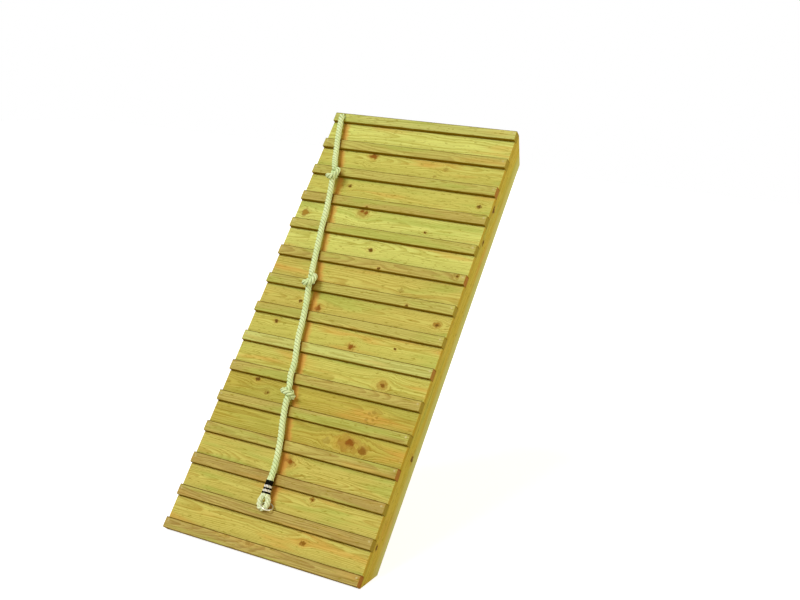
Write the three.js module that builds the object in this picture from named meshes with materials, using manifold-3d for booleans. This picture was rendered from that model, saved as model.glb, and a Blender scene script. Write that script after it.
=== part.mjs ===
// A climbing ramp for a child's play tower, leaning at the angle at which its feet sit level.
//
// Two stringers carry battens and boards laid in turn across them, side by side. The thick battens
// stand proud of the thin boards, so they are the rungs. A knotted rope comes through a hole in the
// top batten, where a stopper knot behind holds it, and lies down the ramp. Its lower end is spliced
// into an eye, bound with three black whippings, and a steel ring hangs in the eye.
//
// The ramp is drawn flat first: x across it, y up the slope from the foot, z out of its face from
// the front of the stringers. It is then leaned back, with its footprint centred on the origin.
import * as THREE from 'three';
import { mergeVertices } from 'three/addons/utils/BufferGeometryUtils.js';
import Module from 'manifold-3d';

const wasm = await Module();
wasm.setup();

// Driving dimensions, in millimetres and degrees.
const rampWidth = 900;
const leanFromGround = 54;
const battenCount = 15;
const battenWidth = 45;
const battenThickness = 34;
const battenArris = 3;
const boardWidth = 95;
const boardThickness = 18;
const boardArris = 2;
const timberGap = 0.7;
const stringerWidth = 28;
const stringerDepth = 110;
const stringerArris = 2;
const topCutFromSquare = 36;
const seatGap = 0.3;

const ropeDiameter = 26;
const ropeHoleClearance = 0.8;
const ropeHoleFromSide = 43.5;
const ropeHoleChamfer = 3;

// A rope squeezes thinner in a knot that is drawn tight. The pitch is the size of the knot's turns.
const knottedDiameter = 23;
const knotPitch = 20.5;
const knotFlattening = 0.8;
const stopperKnotBehind = 22;
const tailLength = 53;

// The splice swells from the rope to the neck of the eye, and carries the whippings.
const spliceTop = { across: 399.5, down: 1731, lift: 4.3 };
const spliceEndFromSide = 400.5;
const spliceDiameter = 34;
const whippingThickness = 1.3;
const whippingGap = 10;
const whippingMargin = 3;
const whippings = [
  { name: 'whipping_upper', width: 20 },
  { name: 'whipping_middle', width: 7 },
  { name: 'whipping_lower', width: 7 },
];
const eyeStrandDiameter = 22;
const eyeSlit = 12;
const eyeLength = 56;
const eyeNeckFromSide = 400;
const eyeNeckHalfWidth = 5;
const eyeLean = 9;

// The ring passes through the eye's slit, a little to the left of its middle, and stands to the
// right and down from there. It is tilted out of the ramp's face, with its rim on the bight.
const ringDiameter = 54;
const ringWire = 6;
const ringLeftOfSlit = 2;
const ringAboveBight = 3;
const ringTurn = 20;
const ringRestTilt = 50;

// Sides and steps of the round pieces.
const ropeSides = 10;
const knotSides = 8;
const knotSteps = 22;
const eyeSteps = 18;
const runStep = 55;
const bendStep = 7;
const tailStep = 20;
const lathedSides = 24;
const ringSides = 40;
const wireSides = 10;
const timberCornerSteps = 3;

// Where the rope's pieces meet, slivers thinner than this are closed.
const sliverSize = 0.05;

const radians = THREE.MathUtils.degToRad;

// What follows from the driving dimensions.
const boardCount = battenCount - 1;
const pitch = battenWidth + boardWidth + 2 * timberGap;
const rampLength = boardCount * pitch + battenWidth;
const battenFace = seatGap + battenThickness;
const ropeBed = battenFace + seatGap + ropeDiameter / 2;
const footCutBack = stringerDepth / Math.tan(radians(leanFromGround));
const topCutBack = stringerDepth * Math.tan(radians(topCutFromSquare));
const totalWhipping = whippings.reduce((sum, { width }) => sum + width, 0);
const spliceLength = 2 * whippingMargin + totalWhipping + (whippings.length - 1) * whippingGap;
const eyeHalfWidth = (eyeStrandDiameter + eyeSlit) / 2;
const eyeHeight = battenFace + seatGap + eyeStrandDiameter / 2 - ropeBed;
const bightMiddle = eyeLength - eyeHalfWidth;

// Finishes.
function finish(color, roughness, metalness = 0) {
  return new THREE.MeshStandardMaterial({ color, roughness, metalness });
}
const battenPine = finish(0xbeac5a, 0.75);
const boardPine = finish(0xc8b250, 0.7);
const stringerPine = finish(0xb49d40, 0.75);
const ropeYarn = finish(0xd2e2a4, 0.9);
const blackTwine = finish(0x1c1c1a, 0.6);
const brightSteel = finish(0xc9c8c2, 0.3, 0.9);

const ramp = new THREE.Group();

function addPiece(name, geometry, material, parent = ramp) {
  const piece = new THREE.Mesh(geometry, material);
  piece.name = name;
  parent.add(piece);
  return piece;
}

// Solids that are cut or joined pass through the boolean library and come back as geometry.
function toSolid(geometry) {
  const bare = geometry.clone();
  bare.deleteAttribute('normal');
  bare.deleteAttribute('uv');
  const merged = mergeVertices(bare, 1e-4);
  return new wasm.Manifold(new wasm.Mesh({
    numProp: 3,
    vertProperties: new Float32Array(merged.attributes.position.array),
    triVerts: new Uint32Array(merged.index.array),
  }));
}

function toGeometry(solid) {
  const mesh = solid.getMesh();
  const geometry = new THREE.BufferGeometry();
  geometry.setAttribute('position', new THREE.BufferAttribute(mesh.vertProperties, 3));
  geometry.setIndex(new THREE.BufferAttribute(mesh.triVerts, 1));
  geometry.computeVertexNormals();
  return geometry;
}

// A closed outline turned round the y axis, from points of radius and height.
function turned(profile, sides = lathedSides) {
  return new THREE.LatheGeometry(profile.map(([radius, height]) => new THREE.Vector2(radius, height)), sides);
}

// One planed timber lying along x, with its back on z = 0 and its lower edge on y = 0.
function timber(length, width, thickness, arris) {
  const outline = new THREE.Shape();
  outline.moveTo(arris, 0);
  outline.lineTo(thickness - arris, 0);
  outline.absarc(thickness - arris, arris, arris, -Math.PI / 2, 0);
  outline.lineTo(thickness, width - arris);
  outline.absarc(thickness - arris, width - arris, arris, 0, Math.PI / 2);
  outline.lineTo(arris, width);
  outline.absarc(arris, width - arris, arris, Math.PI / 2, Math.PI);
  outline.lineTo(0, arris);
  outline.absarc(arris, arris, arris, Math.PI, 1.5 * Math.PI);
  const endArris = arris / 3;
  const geometry = new THREE.ExtrudeGeometry(outline, {
    depth: length - 2 * endArris,
    curveSegments: timberCornerSteps,
    bevelThickness: endArris,
    bevelSize: endArris,
    bevelOffset: -endArris,
    bevelSegments: 1,
  });
  geometry.translate(0, 0, endArris - length / 2);
  geometry.rotateY(-Math.PI / 2);
  return geometry;
}

// Each stringer is one plank on edge. Its foot is cut level and its head is cut back.
function makeStringers() {
  const outline = new THREE.Shape();
  outline.moveTo(0, 0);
  outline.lineTo(rampLength, 0);
  outline.lineTo(rampLength - topCutBack, -stringerDepth);
  outline.lineTo(footCutBack, -stringerDepth);
  const geometry = new THREE.ExtrudeGeometry(outline, {
    depth: stringerWidth - 2 * stringerArris,
    bevelThickness: stringerArris,
    bevelSize: stringerArris,
    bevelOffset: -stringerArris,
    bevelSegments: 2,
  });
  geometry.translate(0, 0, stringerArris - stringerWidth / 2);
  geometry.rotateX(Math.PI / 2);
  geometry.rotateZ(Math.PI / 2);
  for (const [name, side] of [['stringer_left', -1], ['stringer_right', 1]]) {
    const stringer = addPiece(name, geometry.clone(), stringerPine);
    stringer.position.x = side * (rampWidth - stringerWidth) / 2;
  }
}

// The rope's hole, as the solid that drills it, chamfered where the rope bends out of it.
function makeHoleCutter() {
  const radius = ropeDiameter / 2 + ropeHoleClearance;
  const cutter = turned([
    [0, -battenThickness],
    [radius, -battenThickness],
    [radius, battenFace - ropeHoleChamfer],
    [radius + ropeHoleChamfer, battenFace],
    [radius + ropeHoleChamfer, 2 * battenFace],
    [0, 2 * battenFace],
  ]);
  cutter.rotateX(Math.PI / 2);
  cutter.translate(ropeHoleFromSide - rampWidth / 2, rampLength - battenWidth / 2, 0);
  return toSolid(cutter);
}

// Battens and boards alternate up the slope, from a batten at the foot to one at the top.
// They are numbered from the top, as the photograph is read.
function makeSlats() {
  const batten = timber(rampWidth, battenWidth, battenThickness, battenArris);
  const board = timber(rampWidth, boardWidth, boardThickness, boardArris);
  for (let number = 1; number <= battenCount; number += 1) {
    const name = `batten_${String(number).padStart(2, '0')}`;
    const geometry = batten.clone();
    geometry.translate(0, rampLength - (number - 1) * pitch - battenWidth, seatGap);
    const drilled = number === 1 ? toGeometry(toSolid(geometry).subtract(makeHoleCutter())) : geometry;
    addPiece(name, drilled, battenPine);
  }
  for (let number = 1; number <= boardCount; number += 1) {
    const name = `board_${String(number).padStart(2, '0')}`;
    const piece = addPiece(name, board.clone(), boardPine);
    piece.position.set(0, rampLength - number * pitch + timberGap, seatGap);
  }
}

// A place on the ramp for the middle of the rope: across from the left side, down from the top, and
// lifted from where the rope lies on the battens.
function spot(across, down, lift) {
  return new THREE.Vector3(across - rampWidth / 2, rampLength - down, ropeBed + lift);
}

function tube(points, diameter, sides, steps) {
  const section = new THREE.Shape();
  for (let side = 0; side < sides; side += 1) {
    const angle = (side / sides) * 2 * Math.PI;
    const corner = [Math.cos(angle) * diameter / 2, Math.sin(angle) * diameter / 2];
    if (side === 0) section.moveTo(...corner);
    else section.lineTo(...corner);
  }
  const extrudePath = new THREE.CatmullRomCurve3(points, false, 'centripetal');
  return toSolid(new THREE.ExtrudeGeometry(section, { steps, extrudePath, bevelEnabled: false }));
}

// The rope's course through an overhand knot, in knot pitches: to the left, out of the face, and
// along the rope. In a round knot the loops lie level, and in a slanting knot they cross it.
const roundKnot = [
  [0, 0, -1.5],
  [-0.05, 0.1, -0.75],
  [-0.4, -0.3, -0.1],
  [-0.2, -0.85, 0.4],
  [0.6, -0.75, 0.65],
  [1.08, -0.15, 0.8],
  [0.8, 0.6, 1.4],
  [-0.05, 0.8, 1.7],
  [-1, 0.7, 0.8],
  [-1.2, 0.4, -0.3],
  [-0.7, -0.2, -1],
  [0.05, -0.8, -0.8],
  [0.45, -0.4, 0],
  [0.1, -0.1, 0.8],
  [0, 0, 1.6],
];
const slantingKnot = [
  [0, 0, -1.5],
  [-0.05, 0.1, -0.75],
  [-0.4, -0.3, -0.1],
  [-0.2, -0.9, 0.6],
  [0.6, -0.75, 1.05],
  [1.12, -0.05, 0.88],
  [0.8, 0.6, 0.75],
  [0, 0.85, 0.4],
  [-0.75, 0.7, 0],
  [-1.15, 0.1, -0.55],
  [-0.75, -0.6, -1],
  [0.05, -0.9, -0.7],
  [0.45, -0.45, 0],
  [0.1, -0.1, 0.75],
  [0, 0, 1.5],
];

// Two of the knots are tied one way and the lowest the other way, as its mirror image.
const knots = [
  { shape: roundKnot, hand: 1, centre: spot(131.5, 334, 16.9), along: new THREE.Vector3(0.22, -0.975, 0) },
  { shape: roundKnot, hand: 1, centre: spot(228.5, 860.5, 17.9), along: new THREE.Vector3(0.19, -0.982, 0) },
  { shape: slantingKnot, hand: -1, centre: spot(326, 1365.5, 2.4), along: new THREE.Vector3(0.205, -0.979, 0) },
];
const faceOut = new THREE.Vector3(0, 0, 1);
const acrossRamp = new THREE.Vector3(1, 0, 0);

// The stopper knot lies behind the top batten, with its shallow side against the left stringer.
const knotShallowReach = 0.9 * knotPitch + knottedDiameter / 2;
const knotEndReach = 1.4 * knotPitch;
const stopperKnot = {
  shape: slantingKnot,
  hand: 1,
  centre: new THREE.Vector3(
    stringerWidth + 1.4 + knotShallowReach - rampWidth / 2,
    rampLength - battenWidth / 2 - 1.5,
    -stopperKnotBehind - knotEndReach,
  ),
  along: faceOut,
};

function knotPoints({ shape, hand, centre, along }, out) {
  const left = new THREE.Vector3().crossVectors(along, out).multiplyScalar(hand);
  return shape.map(([toLeft, outward, onward]) => centre.clone()
    .addScaledVector(left, toLeft * knotPitch)
    .addScaledVector(out, outward * knotPitch)
    .addScaledVector(along, onward * knotPitch * knotFlattening));
}

// Where a run of rope meets a knot: inside its end, then straight on out of it.
const knotEndReaches = [1, 1.25];
function knotEnd({ centre, along }, side) {
  return knotEndReaches.map((reach) => centre.clone().addScaledVector(along, side * reach * knotPitch));
}

// The rope's middle in its hole, at a distance out from the front of the stringers.
function inHole(out) {
  return new THREE.Vector3(ropeHoleFromSide - rampWidth / 2, rampLength - battenWidth / 2, out);
}

function makeRope() {
  const overEdge = spot(47.8, 38, 3);
  const belowEdge = spot(52.1, 60, 2);
  const tailEnd = stopperKnot.centre.clone().add(new THREE.Vector3(-3, -18, -tailLength));
  const runs = [
    { step: tailStep, points: [tailEnd, ...knotEnd(stopperKnot, -1).reverse()] },
    {
      step: bendStep,
      points: [
        knotEnd(stopperKnot, 1)[0],
        inHole(-8).addScaledVector(acrossRamp, 2.6),
        inHole(3),
        inHole(battenThickness / 2),
        inHole(battenFace + 0.8),
        spot(44.2, 23.7, -6.6),
        spot(45.2, 27, -1.5),
        spot(46.4, 32.1, 1.8),
        overEdge,
        belowEdge,
      ],
    },
    {
      step: runStep,
      points: [overEdge, belowEdge, spot(66, 125, 1), spot(86, 200, 1), spot(103.5, 258, 5),
        ...knotEnd(knots[0], -1).reverse()],
    },
    {
      step: runStep,
      points: [...knotEnd(knots[0], 1), spot(148, 448, 0.8), spot(160.9, 518, 0.6), spot(172.5, 601, 0.6),
        spot(184, 665, 0.6), spot(197, 736, 1), spot(208, 790, 4), ...knotEnd(knots[1], -1).reverse()],
    },
    {
      step: runStep,
      points: [...knotEnd(knots[1], 1), spot(239, 940, 2), spot(249.5, 987.5, 1), spot(261, 1050, 0.6),
        spot(271.5, 1121, 0.6), spot(288.5, 1190, 0.6), spot(301, 1240, 0.6), spot(306, 1292, 1),
        ...knotEnd(knots[2], -1).reverse()],
    },
    {
      step: runStep,
      points: [...knotEnd(knots[2], 1), spot(348.5, 1478.2, 0.8), spot(372, 1560, 0.6),
        spot(389, 1640, 0.6), spot(395.8, 1690, 1), spot(spliceTop.across, spliceTop.down, spliceTop.lift)],
    },
  ];
  const pieces = runs.map(({ points, step }) => {
    const length = new THREE.CatmullRomCurve3(points, false, 'centripetal').getLength();
    return tube(points, ropeDiameter, ropeSides, Math.ceil(length / step));
  });
  const tied = [...knots.map((knot) => knotPoints(knot, faceOut)), knotPoints(stopperKnot, acrossRamp)];
  for (const points of tied) {
    pieces.push(tube(points, knottedDiameter, knotSides, knotSteps));
  }
  pieces.push(makeSplice(), makeEye());
  const joined = pieces.reduce((whole, piece) => whole.add(piece));
  const rope = joined.simplify(sliverSize);
  addPiece('climbing_rope', toGeometry(rope), ropeYarn);
}

// The splice, where the rope's end is tucked back into the rope: a cone that swells to the eye.
const spliceStart = spot(spliceTop.across, spliceTop.down, spliceTop.lift);
const spliceEnd = spot(spliceEndFromSide, spliceTop.down + spliceLength, eyeHeight);
const spliceAxis = spliceEnd.clone().sub(spliceStart).normalize();

function spliceRadius(distance) {
  return (ropeDiameter + (spliceDiameter - ropeDiameter) * distance / spliceLength) / 2;
}

function onSplice(geometry) {
  const turn = new THREE.Quaternion().setFromUnitVectors(new THREE.Vector3(0, 1, 0), spliceAxis);
  geometry.applyQuaternion(turn);
  return geometry.translate(spliceStart.x, spliceStart.y, spliceStart.z);
}

function makeSplice() {
  return toSolid(onSplice(turned([
    [0, -2],
    [ropeDiameter / 2, -2],
    [ropeDiameter / 2, 0],
    [spliceDiameter / 2, spliceLength],
    [spliceDiameter / 3, spliceLength + spliceDiameter / 4],
    [0, spliceLength + spliceDiameter / 4],
  ])));
}

// A place on the eye, to the right of its middle line and down that line from its neck.
function onEye(right, down) {
  const lean = radians(eyeLean);
  return spot(
    eyeNeckFromSide + right * Math.cos(lean) + down * Math.sin(lean),
    spliceTop.down + spliceLength - right * Math.sin(lean) + down * Math.cos(lean),
    eyeHeight,
  );
}

// The eye: one leg down, round the bight and up the other leg. The legs part early.
function makeEye() {
  const leg = [0, 0.25, 0.5, 0.75, 1].map((share) => {
    const parted = Math.min(2 * share, 1);
    return {
      half: eyeNeckHalfWidth + (eyeHalfWidth - eyeNeckHalfWidth) * parted * parted * (3 - 2 * parted),
      down: bightMiddle * share,
    };
  });
  const rightLeg = leg.map(({ half, down }) => onEye(half, down));
  const leftLeg = leg.map(({ half, down }) => onEye(-half, down)).reverse();
  const bight = [30, 60, 90, 120, 150].map((degrees) => onEye(
    eyeHalfWidth * Math.cos(radians(degrees)),
    bightMiddle + eyeHalfWidth * Math.sin(radians(degrees)),
  ));
  return tube([...rightLeg, ...bight, ...leftLeg], eyeStrandDiameter, ropeSides, eyeSteps);
}

// Tight bands of black twine round the splice.
function makeWhippings() {
  let start = whippingMargin;
  for (const { name, width } of whippings) {
    const inner = [start, start + width].map((distance) => [spliceRadius(distance) + seatGap, distance]);
    const outer = inner.map(([radius, distance]) => [radius + whippingThickness, distance]);
    const profile = [inner[0], outer[0], outer[1], inner[1], inner[0]];
    addPiece(name, onSplice(turned(profile)), blackTwine);
    start += width + whippingGap;
  }
}

// The ring turns about a line that lies on the ramp's face and crosses the right leg of the eye.
function makeRing() {
  const wireMiddle = (ringDiameter - ringWire) / 2;
  const profile = [];
  for (let side = 0; side < wireSides; side += 1) {
    const angle = (side / wireSides) * 2 * Math.PI;
    profile.push([wireMiddle + ringWire / 2 * Math.cos(angle), ringWire / 2 * Math.sin(angle)]);
  }
  profile.push(profile[0]);
  const pivot = new THREE.Group();
  pivot.position.copy(onEye(0, bightMiddle - ringAboveBight));
  pivot.rotation.set(radians(90 - ringRestTilt), 0, -radians(ringTurn), 'ZYX');
  ramp.add(pivot);
  const ring = addPiece('steel_ring', turned(profile, ringSides), brightSteel, pivot);
  ring.position.x = wireMiddle - ringLeftOfSlit;
}

makeStringers();
makeSlats();
const timberBox = measure();
makeRope();
makeWhippings();
makeRing();

// Lean the ramp back and stand it on the ground, with the timber's footprint centred.
function measure() {
  ramp.rotation.x = radians(leanFromGround);
  ramp.updateMatrixWorld(true);
  return new THREE.Box3().setFromObject(ramp, true);
}
const middle = timberBox.getCenter(new THREE.Vector3());
ramp.position.set(-middle.x, -middle.y, -timberBox.min.z);

const model = new THREE.Group();
model.add(ramp);
export default model;
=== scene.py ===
# %% [markdown]
# # A climbing ramp for a play tower
#
# The ramp leans back at the angle at which its feet sit level. Thick battens are the rungs, thin boards
# lie between them, and a knotted rope hangs down the face. Its timber is built already, and comes in as a
# fixed frame in metres. This lesson gives that timber its grain and knots, then lays the rope.

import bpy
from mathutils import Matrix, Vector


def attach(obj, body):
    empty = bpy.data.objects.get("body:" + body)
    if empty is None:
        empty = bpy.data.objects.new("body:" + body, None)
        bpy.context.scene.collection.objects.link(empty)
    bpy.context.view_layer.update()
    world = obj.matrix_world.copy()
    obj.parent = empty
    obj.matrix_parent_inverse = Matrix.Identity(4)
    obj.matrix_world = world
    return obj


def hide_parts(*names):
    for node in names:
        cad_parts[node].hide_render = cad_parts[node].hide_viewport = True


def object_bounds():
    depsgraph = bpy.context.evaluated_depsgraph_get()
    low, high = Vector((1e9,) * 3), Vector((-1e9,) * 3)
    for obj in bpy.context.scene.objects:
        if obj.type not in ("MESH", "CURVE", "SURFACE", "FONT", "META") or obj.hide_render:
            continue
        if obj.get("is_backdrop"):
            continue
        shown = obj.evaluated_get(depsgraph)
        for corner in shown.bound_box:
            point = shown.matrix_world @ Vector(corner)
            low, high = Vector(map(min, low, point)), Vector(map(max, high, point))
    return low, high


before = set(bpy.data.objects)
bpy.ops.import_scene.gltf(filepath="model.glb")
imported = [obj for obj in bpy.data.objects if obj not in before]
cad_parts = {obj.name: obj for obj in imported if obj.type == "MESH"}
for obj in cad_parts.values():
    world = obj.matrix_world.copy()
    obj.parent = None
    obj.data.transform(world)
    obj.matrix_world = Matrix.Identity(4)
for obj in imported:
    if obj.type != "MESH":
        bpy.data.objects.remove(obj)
print(len(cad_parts), "nodes in the frame")

# %% Tools of the trade
import math

import bpy
import numpy as np
from mathutils import Matrix, Vector

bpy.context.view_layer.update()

# %% [markdown]
# ## The ramp's own axes
#
# Everything on the ramp is easier to place on a flat ramp: so far across it from the left side, so far
# down from its top edge, and so far out of its face. We could turn each piece by hand after making it.
# One rotation matrix that we use for every point is safer, because then nothing can be forgotten.
# The edges are read from the frame, so the pieces follow it.

# %% Lean and edges
LEAN = math.radians(54)
slope = Matrix.Rotation(LEAN, 3, "X")


def flat_box(node):
    """The lowest and highest corner of a frame node on the flat ramp: across, up the slope, out."""
    flat = np.array([v.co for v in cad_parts[node].data.vertices]) @ np.array(slope)
    return Vector(flat.min(0)), Vector(flat.max(0))


left_side = flat_box("batten_01")[0].x
top_edge = flat_box("batten_01")[1].y
batten_face = flat_box("batten_01")[1].z
board_face = flat_box("board_01")[1].z


def on_ramp(across, down, out):
    """A point in the frame, out being measured from the face of the battens."""
    return slope @ Vector((left_side + across, top_edge - down, batten_face + out))


print("batten face", round(batten_face, 4), "board face", round(board_face, 4))

# %% [markdown]
# ## The camera
#
# The photograph was taken from the right and a little above, close enough for the far end of the ramp to
# look smaller. A camera is a place, a direction and a lens. We could aim it with a Track To constraint,
# but that keeps it upright, and this one was tilted by a few degrees. So we give it the direction it looks
# in and the direction to its right, and build its rotation from those two.

# %% Set up the camera
CAMERA_PLACE = Vector((2.22704, -4.04396, 1.95945))
CAMERA_FORWARD = Vector((-0.432979, 0.87542, -0.214872)).normalized()
CAMERA_RIGHT = Vector((0.886703, 0.456516, 0.073157)).normalized()
LENS = 50.9488

camera = bpy.data.objects.new("camera", bpy.data.cameras.new("camera"))
bpy.context.scene.collection.objects.link(camera)
bpy.context.scene.camera = camera
camera.data.lens = LENS
camera.data.sensor_width = 36
camera_up = CAMERA_RIGHT.cross(CAMERA_FORWARD)
turn = Matrix((CAMERA_RIGHT, camera_up, -CAMERA_FORWARD)).transposed()
camera.matrix_world = Matrix.Translation(CAMERA_PLACE) @ turn.to_4x4()
print("camera at", tuple(round(x, 2) for x in CAMERA_PLACE), "with a lens of", round(LENS, 1), "mm")

# %% [markdown]
# ## The line of the rope
#
# The rope is 26 mm thick and laid from three strands. It comes through a hole in the top batten, where
# a stopper knot holds it, bends over the batten and lies down the ramp with three overhand knots in it.
# Its end is turned back into an eye. We could draw all this as a Bezier curve with handles. A Catmull-Rom
# curve is simpler, because it passes through every point that we choose, and its centripetal kind does
# not loop where points are close together, as they are in the knots.

# %% Measure along a line
def reach_along(line):
    """How far along a line each of its points lies, in metres."""
    steps = np.linalg.norm(np.diff(line, axis=0), axis=1)
    return np.concatenate([[0], np.cumsum(steps)])


def line_length(line):
    return float(reach_along(line)[-1])


def eased(share):
    """A share from 0 to 1, with a soft start and a soft end."""
    return share * share * (3 - 2 * share)


# %% A smooth line through chosen points
POINTS_BETWEEN = 40


def smooth_line(points, step):
    """A centripetal Catmull-Rom curve through the points, sampled evenly about every step metres."""
    points = [np.array(p, float) for p in points]
    points = [2 * points[0] - points[1], *points, 2 * points[-1] - points[-2]]
    fine = []
    for p0, p1, p2, p3 in zip(points, points[1:], points[2:], points[3:]):
        t1 = np.linalg.norm(p1 - p0) ** 0.5
        t2 = t1 + np.linalg.norm(p2 - p1) ** 0.5
        t3 = t2 + np.linalg.norm(p3 - p2) ** 0.5
        for t in np.linspace(t1, t2, POINTS_BETWEEN, endpoint=False):
            a1 = p0 + (p1 - p0) * t / t1
            a2 = p1 + (p2 - p1) * (t - t1) / (t2 - t1)
            a3 = p2 + (p3 - p2) * (t - t2) / (t3 - t2)
            b1 = a1 + (a2 - a1) * t / t2
            b2 = a2 + (a3 - a2) * (t - t1) / (t3 - t1)
            fine.append(b1 + (b2 - b1) * (t - t1) / (t2 - t1))
    fine = np.array([*fine, points[-2]])
    reach = reach_along(fine)
    even = np.linspace(0, reach[-1], max(2, round(reach[-1] / step)) + 1)
    return np.stack([np.interp(even, reach, fine[:, i]) for i in range(3)], axis=1)


# %% Sizes of the rope
ROPE_DIAMETER = 0.026
SEAT_GAP = 0.0003
rope_bed = SEAT_GAP + ROPE_DIAMETER / 2
HOLE_ACROSS = 0.0435
hole_down = (flat_box("batten_01")[1].y - flat_box("batten_01")[0].y) / 2
print("the rope's hole is", round(hole_down, 4), "m down from the top edge")


def on_bed(across, down, lift):
    """The middle of the rope, lifted from where it lies on the battens."""
    return on_ramp(across, down, rope_bed + lift)


def in_hole(behind_face):
    """A point on the middle line of the hole."""
    return on_ramp(HOLE_ACROSS, hole_down, -behind_face)


# %% [markdown]
# Two knots on this ramp were pulled round, with their loops lying level, and the others slant. A physics
# simulation could pull them tight, but they would not come to rest as these did. So each kind is a list of
# points in units of the knot's own size: to the left, out of the face, and along the rope. The same list
# serves at every size, and its mirror image is the knot that is tied the other way.

# %% The line of an overhand knot
KNOT_PITCH = 0.0205
KNOT_FLATTENING = 0.8
KNOTTED_DIAMETER = 0.023
ROUND_KNOT = [
    (0, 0, -1.5),
    (-0.05, 0.1, -0.75),
    (-0.4, -0.3, -0.1),
    (-0.2, -0.85, 0.4),
    (0.6, -0.75, 0.65),
    (1.08, -0.15, 0.8),
    (0.8, 0.6, 1.4),
    (-0.05, 0.8, 1.7),
    (-1.0, 0.7, 0.8),
    (-1.2, 0.4, -0.3),
    (-0.7, -0.2, -1.0),
    (0.05, -0.8, -0.8),
    (0.45, -0.4, 0),
    (0.1, -0.1, 0.8),
    (0, 0, 1.6),
]
SLANTING_KNOT = [
    (0, 0, -1.5),
    (-0.05, 0.1, -0.75),
    (-0.4, -0.3, -0.1),
    (-0.2, -0.9, 0.6),
    (0.6, -0.75, 1.05),
    (1.12, -0.05, 0.88),
    (0.8, 0.6, 0.75),
    (0, 0.85, 0.4),
    (-0.75, 0.7, 0),
    (-1.15, 0.1, -0.55),
    (-0.75, -0.6, -1.0),
    (0.05, -0.9, -0.7),
    (0.45, -0.45, 0),
    (0.1, -0.1, 0.75),
    (0, 0, 1.5),
]


def overhand(shape, hand, centre, along, out):
    """The points of one knot, in the frame. along and out are directions, and hand is 1 or -1."""
    left = along.cross(out) * hand
    return [centre + KNOT_PITCH * (left * a + out * o + along * l * KNOT_FLATTENING) for a, o, l in shape]


face_out = slope @ Vector((0, 0, 1))
ramp_across = Vector((1, 0, 0))
KNOTS = [
    (ROUND_KNOT, 1, on_bed(0.1315, 0.334, 0.0169), slope @ Vector((0.22, -0.975, 0))),
    (ROUND_KNOT, 1, on_bed(0.2285, 0.8605, 0.0179), slope @ Vector((0.19, -0.982, 0))),
    (SLANTING_KNOT, -1, on_bed(0.326, 1.3655, 0.0024), slope @ Vector((0.205, -0.979, 0))),
]
knots = [overhand(*knot, face_out) for knot in KNOTS]

# %% The stopper knot
STRINGER_WIDTH = 0.028
STOPPER_TO_STRINGER = 0.0014
STOPPER_BEHIND = 0.022
STOPPER_BELOW_HOLE = 0.0015
stopper_across = STRINGER_WIDTH + STOPPER_TO_STRINGER + 0.9 * KNOT_PITCH + KNOTTED_DIAMETER / 2
stringer_front = flat_box("stringer_left")[1].z
stopper_behind = batten_face - stringer_front + STOPPER_BEHIND + 1.4 * KNOT_PITCH
stopper = on_ramp(stopper_across, hole_down + STOPPER_BELOW_HOLE, -stopper_behind)
stopper_points = overhand(SLANTING_KNOT, 1, stopper, face_out, ramp_across)
print("stopper knot", round(stopper_behind, 4), "m behind the face")

# %% [markdown]
# The rope's end passes through the splice, goes round the eye and is tucked back. The eye leans a little,
# so its points are placed beside and along its own middle line, and one function leans them all. The legs
# part early, with a smooth step, and leave a slit that the steel ring hangs in.

# %% The line of the eye
SPLICE_DOWN = 1.731
SPLICE_LENGTH = 0.06
SPLICE_TOP = on_bed(0.3995, SPLICE_DOWN, 0.0043)
EYE_NECK_ACROSS = 0.4
EYE_LEAN = math.radians(9)
EYE_STRAND_DIAMETER = 0.022
EYE_HALF_WIDTH = 0.017
EYE_NECK_HALF_WIDTH = 0.005
EYE_LENGTH = 0.056
eye_out = SEAT_GAP + EYE_STRAND_DIAMETER / 2
bight_down = EYE_LENGTH - EYE_HALF_WIDTH
splice_end = on_ramp(0.4005, SPLICE_DOWN + SPLICE_LENGTH, eye_out)


def on_eye(right, down):
    """A point to the right of the eye's middle line, and down that line from its neck."""
    across = EYE_NECK_ACROSS + right * math.cos(EYE_LEAN) + down * math.sin(EYE_LEAN)
    below = SPLICE_DOWN + SPLICE_LENGTH - right * math.sin(EYE_LEAN) + down * math.cos(EYE_LEAN)
    return on_ramp(across, below, eye_out)


def eye_leg(side, share):
    """A point of one leg, share being 0 at the neck and 1 where the bight begins."""
    spread = eased(min(2 * share, 1))
    half = EYE_NECK_HALF_WIDTH + (EYE_HALF_WIDTH - EYE_NECK_HALF_WIDTH) * spread
    return on_eye(side * half, bight_down * share)


def on_bight(degrees):
    """A point of the bight, from 0 at the end of the right leg to 180 at the left one."""
    angle = math.radians(degrees)
    return on_eye(EYE_HALF_WIDTH * math.cos(angle), bight_down + EYE_HALF_WIDTH * math.sin(angle))


bight = [on_bight(degrees) for degrees in (30, 60, 90, 120, 150)]
right_leg = [eye_leg(1, share) for share in (0, 0.25, 0.5, 0.75, 1)]
left_leg = [eye_leg(-1, share) for share in (1, 0.75, 0.5, 0.25, 0)]
print("the eye has", len(right_leg + bight + left_leg), "points")

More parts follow.
